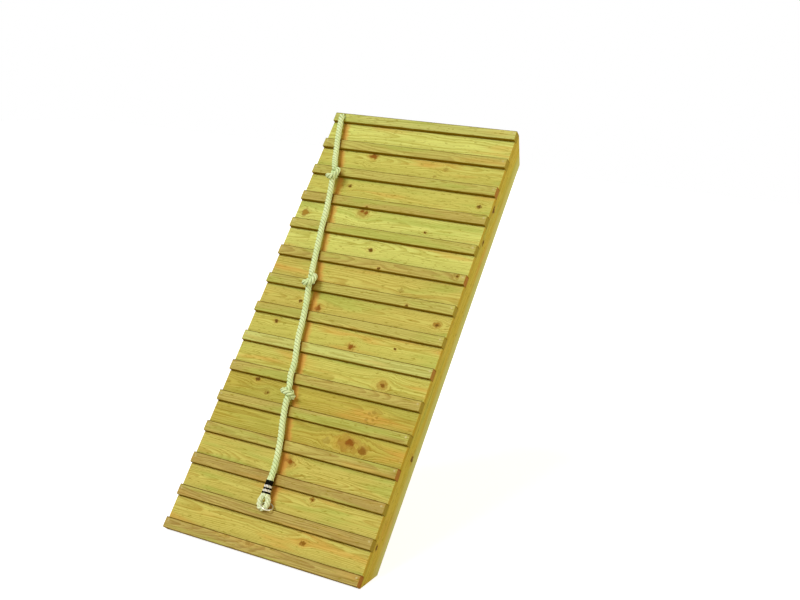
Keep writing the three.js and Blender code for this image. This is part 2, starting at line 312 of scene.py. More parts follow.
# %% The whole line
ROPE_STEP = 0.002
tail_end = stopper + slope @ Vector((-0.003, -0.018, -0.053))
behind_hole = in_hole(0.0423) + ramp_across * 0.0026
behind = smooth_line([tail_end, *stopper_points, behind_hole, in_hole(0.0313), in_hole(0.0173)], ROPE_STEP)
front_points = [
    in_hole(0.0173),
    in_hole(-0.0008),
    on_bed(0.0442, 0.0237, -0.0066),
    on_bed(0.0452, 0.027, -0.0015),
    on_bed(0.0464, 0.0321, 0.0018),
    on_bed(0.0478, 0.038, 0.003),
    on_bed(0.0521, 0.06, 0.002),
    on_bed(0.066, 0.125, 0.001),
    on_bed(0.086, 0.2, 0.001),
    on_bed(0.1035, 0.258, 0.005),
    *knots[0],
    on_bed(0.148, 0.448, 0.0008),
    on_bed(0.1609, 0.518, 0.0006),
    on_bed(0.1725, 0.601, 0.0006),
    on_bed(0.184, 0.665, 0.0006),
    on_bed(0.197, 0.736, 0.001),
    on_bed(0.208, 0.79, 0.004),
    *knots[1],
    on_bed(0.239, 0.94, 0.002),
    on_bed(0.2495, 0.9875, 0.001),
    on_bed(0.261, 1.05, 0.0006),
    on_bed(0.2715, 1.121, 0.0006),
    on_bed(0.2885, 1.19, 0.0006),
    on_bed(0.301, 1.24, 0.0006),
    on_bed(0.306, 1.292, 0.001),
    *knots[2],
    on_bed(0.3485, 1.4782, 0.0008),
    on_bed(0.372, 1.56, 0.0006),
    on_bed(0.389, 1.64, 0.0006),
    on_bed(0.3958, 1.69, 0.001),
    SPLICE_TOP,
    (SPLICE_TOP + splice_end) / 2 + slope @ Vector((0.002, 0, 0)),
    *right_leg,
    *bight,
    *left_leg,
]
front = smooth_line(front_points, ROPE_STEP)
print("rope in front", round(line_length(front), 3), "m, behind the batten", round(line_length(behind), 3))

# %% [markdown]
# ## Three strands
#
# A laid rope is three strands that wind round each other. A striped texture on a round tube would show
# that from far away, but not in the outline, and the outline is what makes a rope look like one. So each
# strand is its own tube that winds round the line. The frame that carries it along turns as little as it
# can, or the strands would bunch up in the bends.

# %% Directions across a line
def carried_sides(line):
    """The direction of the line at each point, and one across it that turns as little as possible."""
    ahead = np.gradient(line, axis=0)
    ahead /= np.linalg.norm(ahead, axis=1)[:, None]
    side = np.cross(ahead[0], [0.3, 0.2, 1.0])
    sides = []
    for direction in ahead:
        side = side - direction * (side @ direction)
        side = side / np.linalg.norm(side)
        sides.append(side)
    return ahead, np.array(sides)


# %% A tube along a line, with its own coordinates for patterns
def tube_mesh(line, radii, sides, outward=None):
    """Points, faces and pattern coordinates of a tube with rounded ends.

    The pattern runs round the tube in turns, and along it in metres."""
    ahead, across = carried_sides(line)
    if outward is not None:
        across = outward - ahead * (outward * ahead).sum(1)[:, None]
        across /= np.linalg.norm(across, axis=1)[:, None]
    over = np.cross(ahead, across)
    angles = np.arange(sides) / sides * 2 * np.pi
    ring = np.cos(angles)[None, :, None] * across[:, None] + np.sin(angles)[None, :, None] * over[:, None]
    points = (line[:, None] + ring * np.asarray(radii)[:, None, None]).reshape(-1, 3)
    reach = reach_along(line)
    faces, pattern = [], []
    for i in range(len(line) - 1):
        for j in range(sides):
            k = (j + 1) % sides
            faces.append((i * sides + j, i * sides + k, (i + 1) * sides + k, (i + 1) * sides + j))
            low, high = j / sides, (j + 1) / sides
            pattern += [(low, reach[i]), (high, reach[i]), (high, reach[i + 1]), (low, reach[i + 1])]
    last = (len(line) - 1) * sides
    faces += [tuple(reversed(range(sides))), tuple(range(last, last + sides))]
    pattern += [(0.5, 0)] * sides + [(0.5, reach[-1])] * sides
    return points, faces, pattern


def rounded(radii, line):
    """The radii with both ends of the tube drawn in to a dome."""
    reach = reach_along(line)
    nearest_end = np.minimum(reach, reach[-1] - reach)
    dome = np.clip(nearest_end / np.max(radii), 0, 1)
    return radii * np.sqrt(np.clip(1 - (1 - dome) ** 2, 0.01, 1))


# %% One object from several tubes
def add_piece(name, tubes, body, smooth=True):
    """Joins point, face and pattern lists into one mesh object that rides on a body."""
    points, faces, pattern = [], [], []
    for more_points, more_faces, more_pattern in tubes:
        start = len(points)
        points += [tuple(p) for p in more_points]
        faces += [tuple(start + i for i in face) for face in more_faces]
        pattern += more_pattern
    mesh = bpy.data.meshes.new(name)
    mesh.from_pydata(points, [], faces)
    if len(pattern) == len(mesh.loops):
        layer = mesh.uv_layers.new(name="pattern")
        layer.data.foreach_set("uv", np.array(pattern, np.float32).ravel())
    mesh.polygons.foreach_set("use_smooth", [smooth] * len(mesh.polygons))
    piece = bpy.data.objects.new(name, mesh)
    bpy.context.scene.collection.objects.link(piece)
    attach(piece, body)
    print(name, len(mesh.vertices), "points")
    return piece


# %% Lay strands round a line
STRAND_SIDES = 12
ROPE_LAY = 0.045


def laid_strands(line, radii, lay, count=3, thickness=0.5, start=0.0):
    """Strands round a line: thickness is a strand's share of the rope, lay is one whole turn in metres."""
    ahead, across = carried_sides(line)
    over = np.cross(ahead, across)
    reach = reach_along(line)
    tubes = []
    for strand in range(count):
        angle = start + strand / count * 2 * np.pi - reach / lay * 2 * np.pi
        outward = np.cos(angle)[:, None] * across + np.sin(angle)[:, None] * over
        middle = line + outward * (radii * (1 - thickness))[:, None]
        strand_radii = rounded(radii * thickness, middle)
        tubes.append(tube_mesh(middle, strand_radii, STRAND_SIDES, outward))
    return tubes


# %% How thick the rope is along its line
TIGHTENING = 0.012


def rope_radii(line, tight_spots):
    """Half the rope's thickness at each point, less in the knots and in the eye."""
    radii = np.full(len(line), ROPE_DIAMETER / 2)
    for centre, reach in tight_spots:
        away = np.linalg.norm(line - np.array(centre), axis=1)
        loose = eased(np.clip((away - reach) / TIGHTENING, 0, 1))
        radii = np.minimum(radii, (KNOTTED_DIAMETER + (ROPE_DIAMETER - KNOTTED_DIAMETER) * loose) / 2)
    return radii


knot_reach = 1.2 * KNOT_PITCH
EYE_REACH = 0.05
tight = [(knot[2], knot_reach) for knot in KNOTS]
eye_middle = on_eye(0, bight_down)
front_radii = rope_radii(front, tight + [(eye_middle, EYE_REACH)])
behind_radii = rope_radii(behind, [(stopper, knot_reach)])
print("the rope is", round(2 * front_radii.min(), 4), "to", round(2 * front_radii.max(), 4), "m thick")

# %% The rope itself, and its knotted tail behind the batten
climbing_rope = add_piece("laid_rope", laid_strands(front, front_radii, ROPE_LAY), "ramp")
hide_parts("climbing_rope")
rope_tail = add_piece("stopper_knot", laid_strands(behind, behind_radii, ROPE_LAY), "ramp")

# %% [markdown]
# ## The splice
#
# Where the eye begins, the rope's end was unlaid and its three strands were tucked between the standing
# ones. So there are six strands here, and the rope is thicker. They are bound by black twine, and between
# the bindings they swell out. Modelling each tuck by hand would take long, and the twine hides most of
# it. So we use the same laid strands again, with six of them and a swelling radius.

# %% Where the bindings lie
SPLICE_DIAMETER = 0.034
WHIPPING_MARGIN = 0.003
WHIPPING_GAP = 0.01
WHIPPINGS = [("whipping_upper", 0.02), ("whipping_middle", 0.007), ("whipping_lower", 0.007)]
band_starts = []
band_start = WHIPPING_MARGIN
for node, width in WHIPPINGS:
    band_starts.append(band_start)
    band_start += width + WHIPPING_GAP
print("bindings start", [round(start, 3) for start in band_starts], "m down the splice")


# %% The tucked strands
TUCKS_ABOVE = 0.016
TUCKS_BELOW = 0.012
TUCKS_LAY = 0.11
TUCK_SHARE = 0.36
SWELLING = 0.0015
SWELLING_RISE = 0.004


def splice_radius(distance):
    """Half the splice's thickness, distance being measured from its top."""
    return (ROPE_DIAMETER + (SPLICE_DIAMETER - ROPE_DIAMETER) * distance / SPLICE_LENGTH) / 2


splice_axis = (splice_end - SPLICE_TOP).normalized()
distances = np.linspace(-TUCKS_ABOVE, SPLICE_LENGTH + TUCKS_BELOW, 60)
swell = np.full(len(distances), SWELLING)
for start, (node, width) in zip(band_starts, WHIPPINGS):
    away = np.maximum(start - distances, distances - start - width)
    swell = np.minimum(swell, SWELLING * np.clip(away / SWELLING_RISE, 0, 1) ** 0.5)
above = np.clip(-distances / TUCKS_ABOVE, 0, 1)
below = np.clip((distances - SPLICE_LENGTH) / TUCKS_BELOW, 0, 1)
drawn_in = above * 0.003 + below**2 * 0.006
splice_line = np.array([SPLICE_TOP + splice_axis * d for d in distances])
splice_radii = np.array([splice_radius(max(d, 0)) for d in distances]) + swell - drawn_in
tucked = laid_strands(splice_line, splice_radii, TUCKS_LAY, count=6, thickness=TUCK_SHARE, start=0.4)
splice = add_piece("splice_tucks", tucked, "ramp")

# %% [markdown]
# ## Black whippings
#
# A whipping is thin twine wound tightly, side by side. A plain black band has no turns to catch the
# light, so each band is one long helix of twine, as it is on the rope.

# %% Wind the twine
TWINE_DIAMETER = 0.0014
TWINE_STEPS = 28
TWINE_SIDES = 6
TWINE_DIP = 0.0008
TWINE_OVERHANG = 0.001


def wound_twine(start, width):
    """The line of a helix round the splice. Its first and last turn dip under the others."""
    turns = (width - TWINE_DIAMETER) / TWINE_DIAMETER
    across = splice_axis.orthogonal().normalized()
    over = splice_axis.cross(across)
    line = []
    steps = round(turns * TWINE_STEPS)
    for step in range(steps + 1):
        share = step / steps
        distance = start + TWINE_DIAMETER / 2 + (width - TWINE_DIAMETER) * share
        near_end = min(share, 1 - share) * turns
        dip = TWINE_DIP * max(0, 1 - near_end * 4)
        radius = splice_radius(distance) + SEAT_GAP + TWINE_DIAMETER / 2 - dip
        angle = 2 * math.pi * turns * share
        outward = across * math.cos(angle) + over * math.sin(angle)
        line.append(SPLICE_TOP + splice_axis * distance + outward * radius)
    return np.array(line)


twines = []
for start, (node, width) in zip(band_starts, WHIPPINGS):
    line = wound_twine(start - TWINE_OVERHANG, width + 2 * TWINE_OVERHANG)
    radii = np.full(len(line), TWINE_DIAMETER / 2)
    twine = add_piece(node + "_twine", [tube_mesh(line, radii, TWINE_SIDES)], "ramp")
    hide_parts(node)
    twines.append(twine)

# %% [markdown]
# ## The steel ring
#
# The ring is bent from 6 mm round bar and welded shut. The frame has it with flat facets, for the joint
# that swings it. Here a torus with more faces replaces it, with the low bead of its weld. Its centre and
# its plane are read from the frame's ring: the direction in which those points spread least is its axis.

# %% Read the ring from the frame
ring_points = np.array([v.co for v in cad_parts["steel_ring"].data.vertices])
ring_centre = ring_points.mean(0)
spread = np.linalg.svd(ring_points - ring_centre, full_matrices=False)
ring_axis = Vector(spread[2][2])
RING_WIRE = 0.006
ring_reach = np.linalg.norm(ring_points - ring_centre, axis=1).max() - RING_WIRE / 2
print("ring middle", ring_centre.round(4), "wire line radius", round(float(ring_reach), 4))

# %% Bend the ring
RING_STEPS = 96
WIRE_SIDES = 20
WELD_HEIGHT = 0.0005
WELD_PLACE = 0.6
WELD_WIDTH = 0.09
ring_left = Vector((-1, 0, 0))
ring_side = (ring_left - ring_axis * ring_left.dot(ring_axis)).normalized()
ring_over = ring_axis.cross(ring_side)
ring_mesh_points, ring_faces = [], []
for i in range(RING_STEPS):
    around = 2 * math.pi * i / RING_STEPS
    outward = ring_side * math.cos(around) + ring_over * math.sin(around)
    from_weld = math.remainder(around - WELD_PLACE, 2 * math.pi)
    weld = WELD_HEIGHT * math.exp(-((from_weld / WELD_WIDTH) ** 2))
    for j in range(WIRE_SIDES):
        angle = 2 * math.pi * j / WIRE_SIDES
        wire = RING_WIRE / 2 + weld
        offset = outward * (ring_reach + wire * math.cos(angle)) + ring_axis * wire * math.sin(angle)
        ring_mesh_points.append(Vector(ring_centre) + offset)
        here, ahead = i * WIRE_SIDES, (i + 1) % RING_STEPS * WIRE_SIDES
        k = (j + 1) % WIRE_SIDES
        ring_faces.append((here + j, ahead + j, ahead + k, here + k))
ring = add_piece("welded_ring", [(ring_mesh_points, ring_faces, [])], "ring")
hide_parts("steel_ring")

# %% [markdown]
# ## Screws and brads
#
# One countersunk screw holds each end of a batten, and two thin brads hold each end of a board. A cross
# recess could be cut with a boolean, thirty times. A small grid of rings round the middle does the same:
# where a point lies in the cross, it is simply set deeper.

# %% Screw heads
HEAD_RADIUS = 0.0042
HEAD_SIDES = 32
HEAD_RINGS = (0.0002, 0.0008, 0.0014, 0.002, 0.0023, 0.0032, 0.004, HEAD_RADIUS)
RECESS_REACH = 0.0021
RECESS_HALF_WIDTH = 0.0005
RECESS_DEPTH = 0.0012
HEAD_PROUD = 0.0002
RIM_SUNK = 0.0006
SIDE_TO_SCREW = 0.0142
EDGE_TO_SCREW = 0.015
SCREW_WANDER = 0.0012


def screw_head(centre, turn):
    """A flat head with a cross recess, its rim just under the wood. turn is the angle of the cross."""
    points, faces = [], []
    for r in HEAD_RINGS:
        for j in range(HEAD_SIDES):
            angle = 2 * math.pi * j / HEAD_SIDES
            x, y = r * math.cos(angle), r * math.sin(angle)
            in_cross = r < RECESS_REACH and min(abs(x), abs(y)) < RECESS_HALF_WIDTH
            height = -RIM_SUNK if r == HEAD_RADIUS else HEAD_PROUD
            height = -RECESS_DEPTH if in_cross else height
            spun = Matrix.Rotation(turn, 3, "Z") @ Vector((x, y, height))
            points.append(centre + slope @ spun)
    for i in range(len(HEAD_RINGS) - 1):
        for j in range(HEAD_SIDES):
            k = (j + 1) % HEAD_SIDES
            low, high = i * HEAD_SIDES, (i + 1) * HEAD_SIDES
            faces.append((low + j, high + j, high + k, low + k))
    faces.append(tuple(range(HEAD_SIDES)))
    return points, faces, []


BATTENS = [f"batten_{number:02d}" for number in range(1, 16)]
BOARDS = [f"board_{number:02d}" for number in range(1, 15)]
ramp_width = flat_box("batten_01")[1].x - left_side
heads = []
for number, node in enumerate(BATTENS):
    down = top_edge - flat_box(node)[1].y + EDGE_TO_SCREW
    for side, across in enumerate((SIDE_TO_SCREW, ramp_width - SIDE_TO_SCREW)):
        wander = SCREW_WANDER * math.sin(number * 2.3 + side * 1.7)
        heads.append(screw_head(on_ramp(across + wander, down - wander, 0), number + 0.6 * side))
screws = add_piece("screw_heads", heads, "ramp", smooth=False)

# %% Brad heads
BRAD_RADIUS = 0.0013
BRAD_SIDES = 8
SIDE_TO_BRAD = 0.013
BRAD_SHARES = (0.25, 0.72)
BRAD_WANDER = 0.002
brad_tubes = []
for number, node in enumerate(BOARDS):
    low, high = flat_box(node)
    for share in BRAD_SHARES:
        for side, across in enumerate((SIDE_TO_BRAD, ramp_width - SIDE_TO_BRAD)):
            wander = BRAD_WANDER * math.sin(number * 1.9 + side * 2.6 + share * 5)
            down = top_edge - high.y + share * (high.y - low.y) + wander
            middle = on_ramp(across + wander, down, board_face - batten_face)
            line = np.array([middle - face_out * 0.001, middle, middle + face_out * 0.00015])
            brad_tubes.append(tube_mesh(line, [BRAD_RADIUS, BRAD_RADIUS, BRAD_RADIUS * 0.8], BRAD_SIDES))
brads = add_piece("brads", brad_tubes, "ramp", smooth=False)

# %% [markdown]
# ## The rope's length
#
# A mesh doesn't say how a rope is held, or how long it is. Whoever uses this ramp could guess that from
# its shape. Here the length of the rope in front of the ramp is printed.

print("rope declared,", round(line_length(front), 3), "m long")

# %% [markdown]
# ## Colours and nodes
#
# A paint chip is easy to read as three numbers from 0 to 255, but a shader works with light, which is not
# the same scale. One helper turns the first into the second. A second helper adds a shader node and fills
# its inputs in order, with a value or with a link, so that a material reads like a recipe.

# %% Paint chips as light
def paint(red, green, blue):
    """A colour as it is seen on a screen, from 0 to 255, as the light that a shader needs."""
    light = []
    for value in (red, green, blue):
        share = value / 255
        light.append(share / 12.92 if share <= 0.04045 else ((share + 0.055) / 1.055) ** 2.4)
    return (*light, 1.0)


print("middle grey as light:", round(paint(128, 128, 128)[0], 3))


# %% Helpers for nodes
def add(tree, kind, *inputs, **settings):
    """Adds one node, with its settings, and fills its inputs in order. None leaves an input alone."""
    node = tree.nodes.new("ShaderNode" + kind)
    for setting, value in settings.items():
        setattr(node, setting, value)
    for socket, value in zip(node.inputs, inputs):
        if isinstance(value, bpy.types.NodeSocket):
            tree.links.new(value, socket)
        elif value is not None:
            socket.default_value = value
    return node


def maths(tree, operation, *inputs, clamp=False):
    return add(tree, "Math", *inputs, operation=operation, use_clamp=clamp).outputs[0]


def vectors(tree, operation, *inputs):
    return add(tree, "VectorMath", *inputs, operation=operation).outputs[0]


def step_between(tree, value, low, high):
    """0 below low, 1 above high, and a smooth step between them. low may be the higher of the two."""
    return add(tree, "MapRange", value, low, high, interpolation_type="SMOOTHSTEP").outputs[0]


def noise(tree, place, scale, detail, output="Fac"):
    return add(tree, "TexNoise", place, None, scale, detail).outputs[output]


def tint(tree, share, below, above):
    """Mixes two colours."""
    node = tree.nodes.new("ShaderNodeMix")
    node.data_type = "RGBA"
    for socket, value in zip((node.inputs[0], node.inputs[6], node.inputs[7]), (share, below, above)):
        if isinstance(value, bpy.types.NodeSocket):
            tree.links.new(value, socket)
        else:
            socket.default_value = value
    return node.outputs[2]


def lay_over(tree, below, mask, strength, above):
    """Lays a colour over another where a mask is bright, as far as the strength lets it."""
    return tint(tree, maths(tree, "MULTIPLY", mask, strength), below, above)


# %% Helpers for groups and materials
def start_group(name, inputs, outputs):
    """An empty node group with named sockets. Returns it with its inputs by name, and its output node."""
    tree = bpy.data.node_groups.new(name, "ShaderNodeTree")
    for label, kind, value in inputs:
        socket = tree.interface.new_socket(name=label, in_out="INPUT", socket_type="NodeSocket" + kind)
        if value is not None:
            socket.default_value = value
    for label, kind in outputs:
        tree.interface.new_socket(name=label, in_out="OUTPUT", socket_type="NodeSocket" + kind)
    given = tree.nodes.new("NodeGroupInput").outputs
    result = tree.nodes.new("NodeGroupOutput").inputs
    return tree, given, result


def place_group(tree, group, **inputs):
    """Puts a group into a material, and returns its outputs. An input's spaces are written as _."""
    node = tree.nodes.new("ShaderNodeGroup")
    node.node_tree = group
    for label, value in inputs.items():
        socket = node.inputs[label.replace("_", " ")]
        if isinstance(value, bpy.types.NodeSocket):
            tree.links.new(value, socket)
        else:
            socket.default_value = value
    return node.outputs


def start_material(name):
    """A new material, with its node tree and its shader."""
    material = bpy.data.materials.new(name)
    material.use_nodes = True
    tree = material.node_tree
    return material, tree, tree.nodes["Principled BSDF"]


def roughen(tree, shader, relief, strength, height):
    """Turns a relief into bumps, up to that height in metres."""
    bump = add(tree, "Bump", strength, height)
    tree.links.new(relief, bump.inputs["Height"])
    tree.links.new(bump.outputs[0], shader.inputs["Normal"])


def tell(tree, name):
    print(name, "has", len(tree.nodes), "nodes")


# %% [markdown]
# ## Where a point lies in its timber
#
# Grain runs along a timber, so each timber needs its own axes: along it, across its width, and through
# its thickness, from its middle. The frame's pieces keep their places in their meshes, so Object
# coordinates are places on the leaning ramp. This group leans them back and moves them to the timber's
# middle. A stringer runs up the slope, so for it the axes are turned by a quarter.

# %% Group: timber axes
timber_axes, given, result = start_group(
    "timber axes",
    [("Middle", "Vector", (0, 0, 0)), ("Turn", "Float", 0.0)],
    [("Place", "Vector")],
)
object_place = timber_axes.nodes.new("ShaderNodeTexCoord").outputs["Object"]
flat_place = add(timber_axes, "VectorRotate", object_place, None, None, -LEAN, rotation_type="X_AXIS")
from_middle = vectors(timber_axes, "SUBTRACT", flat_place.outputs[0], given["Middle"])
turned = add(timber_axes, "VectorRotate", from_middle, None, None, None, rotation_type="Z_AXIS")
timber_axes.links.new(given["Turn"], turned.inputs["Angle"])
timber_axes.links.new(turned.outputs[0], result["Place"])
tell(timber_axes, "timber axes")

# %% [markdown]
# ## Knots in the wood
#
# A knot is a branch that the tree grew round. It is darker and redder than the wood, it has a dark rim,
# and the grain parts to pass it. So one group does three things: it makes the knot's mask and its rim,
# and it pulls the place towards the knot's middle line before the grain is looked up. Then the
# lines that lie there part. A halo of reddish wood fades out round it. A second knot takes the pulled
# place of the first one, and so on in a chain. The squeeze flattens the mask through the thickness.

# %% Group: branch knot
FACE_SQUEEZE = (0.8, 1.0, 0.12)
SIDE_SQUEEZE = (0.7, 0.12, 1.0)
RAGGED = 2.2
PULL_FADES = -0.13
PULL_STRENGTH = -0.8
branch_knot, given, result = start_group(
    "branch knot",
    [
        ("Place", "Vector", None),
        ("Pulled", "Vector", None),
        ("Centre", "Vector", (0, 0, 0)),
        ("Radius", "Float", 0.01),
        ("Squeeze", "Vector", FACE_SQUEEZE),
    ],
    [("Pulled", "Vector"), ("Knot", "Float"), ("Rim", "Float"), ("Halo", "Float")],
)
tree = branch_knot
away = vectors(tree, "SUBTRACT", given["Place"], given["Centre"])
shrunk = add(tree, "VectorMath", away, operation="SCALE")
tree.links.new(maths(tree, "DIVIDE", 1.0, given["Radius"]), shrunk.inputs["Scale"])
own_place = vectors(tree, "MULTIPLY_ADD", given["Centre"], (37.0, 37.0, 37.0), shrunk.outputs[0])
ragged = noise(tree, own_place, 1.1, 3.0)
flat_away = vectors(tree, "MULTIPLY", away, given["Squeeze"])
distance = add(tree, "VectorMath", flat_away, operation="LENGTH").outputs["Value"]
distance = maths(tree, "DIVIDE", distance, given["Radius"])
distance = maths(tree, "ADD", distance, maths(tree, "MULTIPLY_ADD", ragged, RAGGED, -RAGGED / 2))
knot_mask = step_between(tree, distance, 1.15, 0.55)
outer_rim = step_between(tree, distance, 1.35, 0.9)
rim_mask = maths(tree, "MULTIPLY", outer_rim, step_between(tree, distance, 0.45, 0.95))
squared = maths(tree, "MULTIPLY", distance, distance)
pull = maths(tree, "EXPONENT", maths(tree, "MULTIPLY", squared, PULL_FADES))
across_away = add(tree, "SeparateXYZ", away).outputs[1]
shift = maths(tree, "MULTIPLY", maths(tree, "MULTIPLY", across_away, pull), PULL_STRENGTH)
shifted = vectors(tree, "ADD", given["Pulled"], add(tree, "CombineXYZ", 0.0, shift, 0.0).outputs[0])
tree.links.new(shifted, result["Pulled"])
tree.links.new(knot_mask, result["Knot"])
tree.links.new(rim_mask, result["Rim"])
tree.links.new(step_between(tree, distance, 2.4, 0.8), result["Halo"])
tell(tree, "branch knot")

# %% [markdown]
# ## Growth rings
#
# A board shows the rings of its tree: cut lengthways they are long wavy lines and arches, and at the
# sawn ends they are arcs. A flat picture of grain would need one picture for each face. Instead the rings
# are solid: the distance from the tree's heart, which lies behind the board, is cut into bands. The heart
# is not straight, so slow noise moves it, and every face and end of the timber then agrees with the
# others. Finer noises, all drawn out along the timber, give the fibres, the specks and the drift of colour.

# %% Group: growth rings
growth_rings, given, result = start_group(
    "growth rings",
    [
        ("Place", "Vector", None),
        ("Seed", "Float", 0.0),
        ("Heart Across", "Float", 0.0),
        ("Heart Behind", "Float", 0.05),
        ("Ring Width", "Float", 0.004),
        ("Waviness", "Float", 0.032),
    ],
    [("Latewood", "Float"), ("Fibre", "Float"), ("Drift", "Float"), ("Specks", "Float")],
)
tree = growth_rings
seed_shift = add(tree, "CombineXYZ", given["Seed"], given["Seed"], given["Seed"]).outputs[0]


def drawn_out_noise(stretch, detail, output="Fac"):
    """Noise in a timber: stretch is how often it changes in a metre along, across and through."""
    drawn_out = vectors(growth_rings, "MULTIPLY_ADD", given["Place"], stretch, seed_shift)
    return noise(growth_rings, drawn_out, 1.0, detail, output)


# %% The heart of the tree, and the rings round it
TAPER = 0.012
slow = drawn_out_noise((1.6, 9.0, 9.0), 2.0, "Color")
wandering = add(tree, "VectorMath", vectors(tree, "SUBTRACT", slow, (0.5, 0.5, 0.5)), operation="SCALE")
tree.links.new(given["Waviness"], wandering.inputs["Scale"])
heart_height = maths(tree, "MULTIPLY", given["Heart Behind"], -1.0)
heart = add(tree, "CombineXYZ", 0.0, given["Heart Across"], heart_height).outputs[0]
from_heart = vectors(tree, "SUBTRACT", given["Place"], heart)
from_heart = vectors(tree, "ADD", from_heart, wandering.outputs[0])
from_heart = vectors(tree, "MULTIPLY", from_heart, (0.0, 1.0, 1.0))
radius = add(tree, "VectorMath", from_heart, operation="LENGTH").outputs["Value"]
along = add(tree, "SeparateXYZ", given["Place"]).outputs[0]
radius = maths(tree, "ADD", radius, maths(tree, "MULTIPLY", along, TAPER))
rings = maths(tree, "DIVIDE", radius, given["Ring Width"])
ripple = maths(tree, "MULTIPLY", drawn_out_noise((9.0, 40.0, 40.0), 2.0), 0.6)
in_ring = maths(tree, "FRACT", maths(tree, "ADD", rings, ripple))
rise = step_between(tree, in_ring, 0.25, 0.9)
fall = step_between(tree, in_ring, 1.0, 0.93)
tree.links.new(maths(tree, "MULTIPLY", rise, fall), result["Latewood"])
tree.links.new(drawn_out_noise((7.0, 420.0, 420.0), 3.0), result["Fibre"])
tree.links.new(drawn_out_noise((2.2, 16.0, 16.0), 2.0), result["Drift"])
tree.links.new(drawn_out_noise((38.0, 190.0, 190.0), 2.0), result["Specks"])
tell(tree, "growth rings")

# %% [markdown]
# ## Ends and edges
#
# A sawn end drinks up the green treatment and goes dark, and the long edges are painted a little darker.
# The low side of a batten faces down the slope, away from the light, and is painted dark as shade; a thin
# shadow line is painted along a batten's upper edge, and the back of a stringer is the palest.
# We could paint these faces one by one, but each depends only on where the surface is: an end is at the
# timber's full length, an edge is near two faces at once, and a low side faces down the slope.

# %% Group: ends and edges
ends_and_edges, given, result = start_group(
    "ends and edges",
    [("Place", "Vector", None), ("Half Size", "Vector", (0.45, 0.02, 0.01)), ("Edge Width", "Float", 0.004)],
    [(mask, "Float") for mask in ("End", "Edge", "High Edge", "Back", "Low Side")],
)
tree = ends_and_edges
room = vectors(tree, "SUBTRACT", given["Half Size"], vectors(tree, "ABSOLUTE", given["Place"]))
room = add(tree, "SeparateXYZ", room).outputs
edge_room = maths(tree, "MAXIMUM", room[1], room[2])
tree.links.new(step_between(tree, room[0], 0.0016, 0.0006), result["End"])
tree.links.new(step_between(tree, edge_room, given["Edge Width"], 0.0), result["Edge"])
upper_room = add(tree, "SeparateXYZ", vectors(tree, "SUBTRACT", given["Half Size"], given["Place"])).outputs
# Painted shade: a thin dark line along the upper edge.
tree.links.new(step_between(tree, upper_room[1], 0.004, 0.0026), result["High Edge"])
tree.links.new(step_between(tree, upper_room[2], 0.05, 0.105), result["Back"])
# Painted shade: surfaces that face down the slope, away from the light.
down_slope = tuple(slope @ Vector((0, -1, 0)))
facing = tree.nodes.new("ShaderNodeNewGeometry").outputs["Normal"]
facing_down = add(tree, "VectorMath", facing, down_slope, operation="DOT_PRODUCT").outputs["Value"]
tree.links.new(step_between(tree, facing_down, 0.4, 0.9), result["Low Side"])
tell(tree, "ends and edges")

# %% [markdown]
# ## The rope's painted shade
#
# The wood under the rope and in a thin band beside it is painted dark, as the rope's contact shade, and to
# the right of it, where the rope's shadow falls, an orange tint is painted as the colour of that shadow. The
# rope is nearly straight over one timber, so the mask needs only the place where its line crosses the
# timber's middle, and its slant. Both are read from the line that the rope was laid on. Slow noise frays the
# painted shadow, and the way that the surface faces keeps it on the face of the ramp.

# %% Group: rope shadow marks
FRAYING = 0.03
FAR_AWAY = 10.0
rope_shadow_marks, given, result = start_group(
    "rope shadow marks",
    [("Place", "Vector", None), ("Crossing", "Float", FAR_AWAY), ("Slant", "Float", 0.0)],
    [("Contact Shade", "Float"), ("Shadow Tint", "Float")],
)
tree = rope_shadow_marks
parts = add(tree, "SeparateXYZ", given["Place"]).outputs
rope_line = maths(tree, "MULTIPLY_ADD", parts[1], given["Slant"], given["Crossing"])
beside = maths(tree, "SUBTRACT", parts[0], rope_line)
fray = noise(tree, given["Place"], 45.0, 2.0)
frayed = maths(tree, "MULTIPLY_ADD", fray, FRAYING, maths(tree, "SUBTRACT", beside, FRAYING / 2))
facing = tree.nodes.new("ShaderNodeNewGeometry").outputs["Normal"]
facing_out = add(tree, "VectorMath", facing, tuple(face_out), operation="DOT_PRODUCT").outputs["Value"]
on_face = step_between(tree, facing_out, 0.3, 0.7)
# Painted shadow: a frayed orange tint to the right of the rope, where its shadow falls.
right_of_rope = step_between(tree, beside, 0.0, 0.012)
shadow_tint = maths(tree, "MULTIPLY", step_between(tree, frayed, 0.046, 0.018), right_of_rope)
tree.links.new(maths(tree, "MULTIPLY", shadow_tint, on_face), result["Shadow Tint"])
# Painted shade: dark under the rope and in a thin band beside it, as the rope's contact shade.
contact_shade = step_between(tree, maths(tree, "ABSOLUTE", beside), 0.0165, 0.0125)
tree.links.new(maths(tree, "MULTIPLY", contact_shade, on_face), result["Contact Shade"])
tell(tree, "rope shadow marks")


# %% Where the rope crosses a timber
def rope_crossing(low, high):
    """Where the rope's line crosses the middle of a timber, from the timber's middle, and its slant."""
    flat = front @ np.array(slope)
    over = flat[(flat[:, 1] > low.y) & (flat[:, 1] < high.y)]
    if len(over) == 0 or np.ptp(over[:, 1]) < 0.8 * (high.y - low.y):
        return FAR_AWAY, 0.0
    up, across = over[:, 1] - (low.y + high.y) / 2, over[:, 0] - (low.x + high.x) / 2
    slant, crossing = np.polyfit(up, across, 1)
    return float(crossing), float(slant)


# %% [markdown]
# ## One pine for every timber
#
# Each timber gets its own material, because each has its own knots, heart and tone. They all use the
# same groups with other numbers, so they look like boards from one stack. Noise could scatter the knots,
# but they are what the eye finds first, so the clear ones are listed where the photograph shows them:
# across from the left side, down from the top, their radius, and their kind. Red knots are fresh, brown
# ones are nearly loose, ringed and old ones have gone pale, faint ones lie under the surface, and a
# stained one is the reddish field round others. The stringers have a few as well, listed down from the
# top and out of the face.

